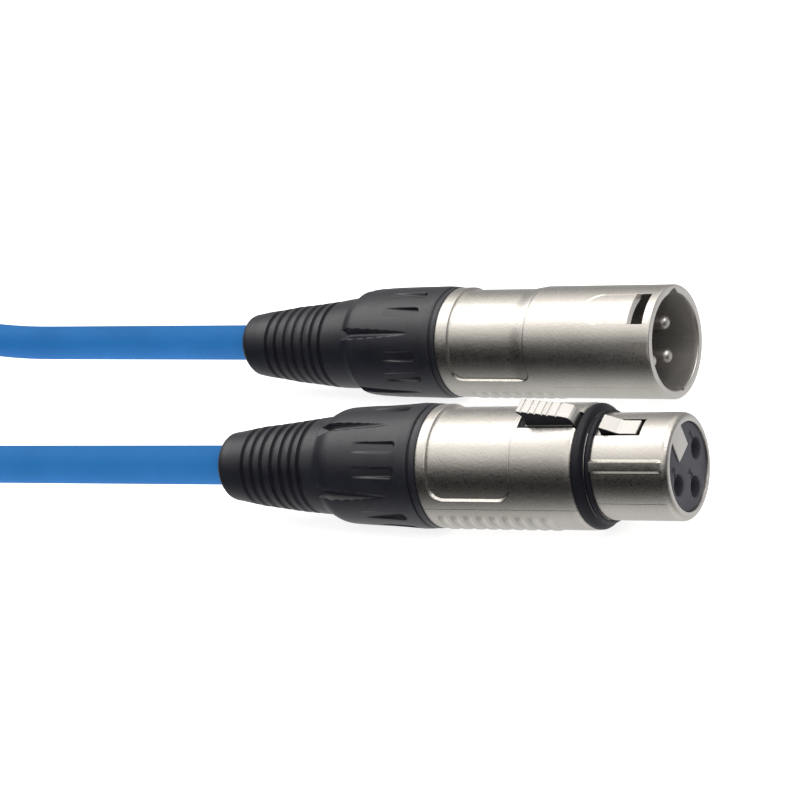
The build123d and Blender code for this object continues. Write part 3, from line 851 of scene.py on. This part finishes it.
CONTACTS = [(-4.0, 0.0), (4.0, 0.0), (0.0, -4.0)]
GLYPH = {  # contact numbers as strokes on a 2 x 4 grid
    1: [((0.35, 3.1), (1.0, 4.0)), ((1.0, 4.0), (1.0, 0.0))],
    2: [((0.0, 3.2), (0.5, 4.0)), ((0.5, 4.0), (1.5, 4.0)), ((1.5, 4.0), (2.0, 3.2)), ((2.0, 3.2), (2.0, 2.6)),
        ((2.0, 2.6), (0.0, 0.0)), ((0.0, 0.0), (2.0, 0.0))],
    3: [((0.0, 4.0), (2.0, 4.0)), ((2.0, 4.0), (1.0, 2.4)), ((1.0, 2.4), (2.0, 1.6)), ((2.0, 1.6), (2.0, 0.6)),
        ((2.0, 0.6), (1.2, 0.0)), ((1.2, 0.0), (0.0, 0.4))]}


def numeral(frame_m, n, x, y, z, size, mat):
    """Small moulded contact number, raised strokes."""
    vs, fs = [], []
    k = size / 4.0
    w = size * 0.12
    for (a, b), (c, d) in GLYPH[n]:
        p = np.array([(a - 1) * k, (b - 2) * k])
        q = np.array([(c - 1) * k, (d - 2) * k])
        u = (q - p) / np.linalg.norm(q - p)
        v = np.array([-u[1], u[0]]) * w
        p, q = p - u * w * 0.6, q + u * w * 0.6
        b0 = len(vs)
        for (s, tt) in ((p + v, 0), (p - v, 0), (q - v, 0), (q + v, 0), (p + v * 0.6, 1), (p - v * 0.6, 1),
                        (q - v * 0.6, 1), (q + v * 0.6, 1)):
            vs.append((x + 0.09 * tt, y + s[0], z + s[1]))
        fs += [(b0, b0 + 1, b0 + 2, b0 + 3), (b0 + 4, b0 + 7, b0 + 6, b0 + 5), (b0, b0 + 4, b0 + 5, b0 + 1),
               (b0 + 1, b0 + 5, b0 + 6, b0 + 2), (b0 + 2, b0 + 6, b0 + 7, b0 + 3), (b0 + 3, b0 + 7, b0 + 4, b0)]
    ob = new_obj(f"number_{n}_{'m' if frame_m is MALE else 'f'}", vs, fs, frame_m, [mat], 20)
    return ob


def pin(frame_m, n, y, z):
    """Plated contact with a rounded nose and a fine flat at its tip."""
    tip = 2.6
    prof = [(-15.6, 1.2)]
    for x in np.arange(-15.0, -tip - 1.3, 1.3):
        prof.append((x, 1.2))
    for i in range(0, 10):
        a = math.radians(90 * i / 9)
        prof.append((-tip - 1.0 + 0.98 * math.sin(a), 0.26 + 0.94 * math.cos(a)))
    m = 48
    vs, fs = [], []
    for x, r in prof:
        for i in range(m):
            a = 2 * math.pi * i / m
            vs.append((x, y + r * math.cos(a), z + r * math.sin(a)))
    fs.append(tuple(range(m)))
    fs.append(tuple(range((len(prof) - 1) * m, len(prof) * m)))
    for q in range(len(prof) - 1):
        for i in range(m):
            i2 = (i + 1) % m
            fs.append((q * m + i, q * m + i2, (q + 1) * m + i2, (q + 1) * m + i))
    ob = new_obj(f"male_pin_{n}_front", vs, fs, frame_m, [PIN_M], 30)
    return ob


def ring():
    prof = [(-12.15, 8.06), (-12.15, 8.16), (-12.19, 8.27), (-12.32, 8.42), (-12.5, 8.5), (-12.66, 8.5),
            (-12.8, 8.42), (-12.92, 8.34), (-13.05, 8.32), (-13.18, 8.42), (-13.3, 8.70), (-13.45, 9.02),
            (-13.65, 9.26), (-13.9, 9.38), (-14.2, 9.41), (-14.45, 9.36), (-14.62, 9.24), (-14.7, 9.1),
            (-14.7, 8.38), (-13.0, 8.34), (-12.98, 8.06)]
    th = np.linspace(-math.pi, math.pi, 300, endpoint=False)
    ob = lathe("female_lip_ring", prof, th, [RING_M], FEMALE, None, 50)
    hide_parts("female_ring")


def latch():
    """Push button and tooth on one lever."""
    B0, B1, Z0, Z1 = 14.95, 23.7, 11.0, 12.35
    p = [(-5.6, 6.7), (-5.6, 7.70), (-5.68, 7.80), (-8.3, 7.86), (-8.5, 7.98), (-8.7, 8.0), (-11.08, 9.06),
         (-11.2, 9.02), (-11.25, 8.9), (-11.25, 7.6), (-B0, 7.6), (-B0, 9.7), (-B0 - 0.08, 10.15),
         (-B0 - 0.26, 10.55), (-B0 - 0.52, 10.88), (-B0 - 0.80, 11.06)]
    # seven smooth slats with thin grooves between them
    for t in (17.41, 18.75, 19.61, 20.73, 21.71, 22.94):
        zt = Z0 + (Z1 - Z0) * (t - B0) / (B1 - B0)
        p += [(-t + 0.26, zt + 0.02), (-t + 0.08, zt - 0.17), (-t - 0.04, zt - 0.17), (-t - 0.14, zt + 0.0)]
    p += [(-B1 + 0.12, Z1 + 0.02), (-B1 + 0.0, Z1 - 0.10), (-B1 + 0.03, Z1 - 0.26), (-B1 + 0.55, Z1 - 0.85),
          (-B1 + 0.9, 10.9), (-B1 + 0.95, 10.2), (-B1 + 0.85, 9.7), (-B1 + 0.35, 9.1), (-B1 + 0.35, 8.3),
          (-25.6, 7.9), (-26.2, 7.6), (-26.35, 7.2), (-26.35, 6.5), (-26.1, 6.1), (-25.7, 5.95), (-24.9, 5.95),
          (-24.2, 6.3), (-23.6, 6.5), (-15.5, 6.7)]
    # outline with a bevelled rim on both sides
    poly = np.array(p)
    n = len(poly)

    def inset(d):
        out = []
        for i in range(n):
            a, b, c = poly[i - 1], poly[i], poly[(i + 1) % n]
            u, v = (b - a) / np.linalg.norm(b - a), (c - b) / np.linalg.norm(c - b)
            nu, nv = np.array([-u[1], u[0]]), np.array([-v[1], v[0]])
            w = nu + nv
            ln = np.linalg.norm(w)
            w = w / ln if ln > 1e-6 else nu
            k = max(0.55, float(np.dot(w, nu)))
            out.append(b + w * d / k)
        return np.array(out)
    area2 = sum(poly[i][0] * poly[(i + 1) % n][1] - poly[(i + 1) % n][0] * poly[i][1] for i in range(n))
    s = 1.0 if area2 > 0 else -1.0
    H = 1.45
    layers = [(-H, 0.05 * s), (-H + 0.05, 0.0), (H - 0.05, 0.0), (H, 0.05 * s)]
    vs, fs = [], []
    for y, d in layers:
        q = inset(d) if d else poly
        vs += [(a, y, b) for a, b in q]
    for l in range(len(layers) - 1):
        for i in range(n):
            i2 = (i + 1) % n
            fs.append((l * n + i, l * n + i2, (l + 1) * n + i2, (l + 1) * n + i))
    fs.append(tuple(range(n)))
    fs.append(tuple(range((len(layers) - 1) * n, len(layers) * n)))
    ob = new_obj("latch_lever", vs, fs, FEMALE, [LATCH_M], 28, "latch")
    bm = bmesh.new()
    bm.from_mesh(ob.data)
    bmesh.ops.triangulate(bm, faces=[f for f in bm.faces if len(f.verts) > 4])
    bm.to_mesh(ob.data)
    bm.free()
    # the lever's flat sides take the near-black nickel as painted shade
    ob.data.materials.append(LATCH_SIDE_PAINTED_SHADE)
    inv = FEMALE.inverted().to_3x3()
    for f in ob.data.polygons:
        f.material_index = 1 if abs((inv @ f.normal).y) > 0.9 else 0
    shade(ob, 10)
    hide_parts("female_latch")
    # narrow ledge along the foot of the button
    for sg in (-1, 1):
        lo, hi = sorted((sg * 1.40, sg * 1.56))
        led = prism("latch_ledge", [(-23.0, 9.36), (-15.2, 9.36), (-15.2, 9.56), (-23.0, 9.56)], lo, hi, "y",
                    FEMALE, 0.03, 2, [LATCH_M], "latch")


male_shell()
female_shell()
b1 = boot("male_boot_rubber", True, MALE)
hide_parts("male_boot")
b2 = boot("female_boot_rubber", False, FEMALE)
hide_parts("female_boot")
ring()
latch()
fi = disc_with_holes("female_insert_body", FEMALE, -0.3, -27.6, 6.58, CONTACTS, [INSERT], 1.60, 0.16,
                     key=[([(-2.03, 2.5), (2.03, 2.5), (2.03, 9.0), (-2.03, 9.0)], -1.45, 0.4),
                          ([(-1.75, 4.9), (1.75, 4.9), (1.75, 9.0), (-1.75, 9.0)], -26.8, -1.44)],
                     step=(-1.4, 7.08))
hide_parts("female_insert")
mi = disc_with_holes("male_insert_body", MALE, -15.5, -26.0, 8.08, CONTACTS, [INSERT], 1.22, 0.3)
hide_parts("male_insert")
for n, (y, z) in enumerate(CONTACTS, 1):
    pin(MALE, n, y, z)
# near-black colour on the contact numbers stands in for the shade in their moulded strokes: painted shade
NUMERAL_PAINTED_SHADE = polymer("numeral_painted_shade", (0.012, 0.012, 0.018), (0.016, 0.016, 0.022), 0.5, 0.6)
numeral(FEMALE, 1, -0.3, 4.0, 2.5, 1.35, NUMERAL_PAINTED_SHADE)
numeral(FEMALE, 2, -0.3, -4.0, 2.5, 1.35, NUMERAL_PAINTED_SHADE)
numeral(FEMALE, 3, -0.3, 0.0, -1.5, 1.3, NUMERAL_PAINTED_SHADE)
numeral(MALE, 1, -15.5, -2.2, 0.0, 1.0, NUMERAL_PAINTED_SHADE)
numeral(MALE, 2, -15.5, 2.2, 0.0, 1.0, NUMERAL_PAINTED_SHADE)
numeral(MALE, 3, -15.5, 0.0, -2.2, 1.0, NUMERAL_PAINTED_SHADE)

# carried-over CAD nodes that stay get their own finish
KEEP = {"male_bush": BUSH, "female_bush": BUSH, "male_chuck": CHUCK, "female_chuck": CHUCK,
        "male_cable_tail": JACKET, "female_cable_tail": JACKET, "male_core_hot": RED, "female_core_hot": RED,
        "male_core_cold": WHITE, "female_core_cold": WHITE, "male_shield_wire": COPPER,
        "female_shield_wire": COPPER, "female_latch_pin": STEEL, "female_latch_spring": STEEL}
for k in (1, 2, 3):
    KEEP[f"male_pin_{k}"] = PIN_M
    KEEP[f"female_contact_{k}"] = PIN_M
for k, mt in KEEP.items():
    o = frame["nodes"][k]
    o.data.materials.clear()
    o.data.materials.append(mt)


# ------------------------------------------------------------------ stage
def stage():
    """White opal table, lit through: plain and nearly free of shadow."""
    me = bpy.data.meshes.new("floor")
    s = 3.0
    me.from_pydata([(-s, -s, 0), (s, -s, 0), (s, s, 0), (-s, s, 0)], [], [(0, 1, 2, 3)])
    fl = bpy.data.objects.new("floor", me)
    COL.objects.link(fl)
    m, nt, b, tc = mat_base("floor_opal")
    n = noise(nt, tc, 60, 3)
    c = ramp(nt, n.outputs[0], [(0.3, grey(0.80)), (0.7, grey(0.82))])
    nt.links.new(c.outputs[0], b.inputs["Base Color"])
    b.inputs["Roughness"].default_value = 0.9
    b.inputs["Specular IOR Level"].default_value = 0.0
    b.inputs["Emission Color"].default_value = (1.0, 1.0, 1.0, 1)
    b.inputs["Emission Strength"].default_value = 0.83
    me.materials.append(m)
    # the metal mirrors the studio's soft gradient, not the lit table right under it
    fl.visible_glossy = False


stage()


def area(name, loc, target, size, power, sy=None, spread=None, color=None):
    l = bpy.data.lights.new(name, "AREA")
    l.energy = power
    l.shape = "RECTANGLE"
    l.size = size
    l.size_y = sy or size
    if spread:
        l.spread = math.radians(spread)
    if color:
        l.color = color
    o = bpy.data.objects.new(name, l)
    o.location = loc
    o.rotation_mode = "QUATERNION"
    o.rotation_quaternion = (Vector(target) - Vector(loc)).to_track_quat("-Z", "Y")
    COL.objects.link(o)
    return o


def sky(az, el, dist):
    a, e = math.radians(az), math.radians(el)
    return (dist * math.cos(e) * math.sin(a), dist * math.cos(e) * math.cos(a), dist * math.sin(e))


# azimuth from +Y towards +X
area("left_soft", sky(-92, 66, 0.9), (0, 0, 0), 0.66, 2.6, 1.05)
area("right_soft", sky(90, 55, 1.0), (0, 0, 0), 0.5, 2.6, 0.8)

w = bpy.data.worlds.new("studio")
bpy.context.scene.world = w
w.use_nodes = True
nt = w.node_tree
nt.nodes.clear()
wo = nt.nodes.new("ShaderNodeOutputWorld")
bg = nt.nodes.new("ShaderNodeBackground")
nt.links.new(bg.outputs[0], wo.inputs[0])
wt = nt.nodes.new("ShaderNodeTexCoord")
ws = nt.nodes.new("ShaderNodeSeparateXYZ")
nt.links.new(wt.outputs["Generated"], ws.inputs[0])


def tint(e):
    """Warm above, neutral below, a little cool near the horizon."""
    return (1.0, 0.975, 0.94) if e > 20 else (1.0, 1.0, 0.98) if e < -25 else (0.98, 0.985, 1.01)


def height_ramp(stops):
    """Brightness against the sine of the elevation, from -1 to 1."""
    mr = nt.nodes.new("ShaderNodeMapRange")
    mr.inputs["From Min"].default_value = -1.0
    mr.inputs["From Max"].default_value = 1.0
    nt.links.new(ws.outputs["Z"], mr.inputs["Value"])
    return ramp(nt, mr.outputs[0], [((math.sin(math.radians(e)) + 1) / 2, tuple(v * c for c in tint(e)) + (1,))
                                    for e, v in stops])


FRONT = [(-90, 0.84), (-60, 0.64), (-50, 0.38), (-40, 0.20), (-30, 0.085), (-18, 0.018), (-5, 0.006), (6, 0.018),
         (15, 0.12), (25, 0.40), (34, 0.80), (43, 1.12), (54, 1.24), (68, 0.85), (90, 0.5)]
BACK = [(-90, 0.88), (-60, 0.80), (-40, 0.72), (-20, 0.80), (-5, 0.60), (8, 0.32), (20, 0.27), (32, 0.42), (42, 0.85),
        (55, 1.18), (68, 0.85), (90, 0.50)]
fr, bk = height_ramp(FRONT), height_ramp(BACK)
ym = nt.nodes.new("ShaderNodeMapRange")
ym.interpolation_type = "SMOOTHSTEP"
ym.inputs["From Min"].default_value = -0.15
ym.inputs["From Max"].default_value = 0.75
nt.links.new(ws.outputs["Y"], ym.inputs["Value"])
mx = nt.nodes.new("ShaderNodeMix")
mx.data_type = "RGBA"
nt.links.new(ym.outputs[0], mx.inputs[0])
nt.links.new(fr.outputs[0], mx.inputs[6])
nt.links.new(bk.outputs[0], mx.inputs[7])
nt.links.new(mx.outputs[2], bg.inputs[0])
bg.inputs[1].default_value = 1.0

bpy.context.scene.view_settings.view_transform = "Standard"
bpy.context.scene.view_settings.look = "None"
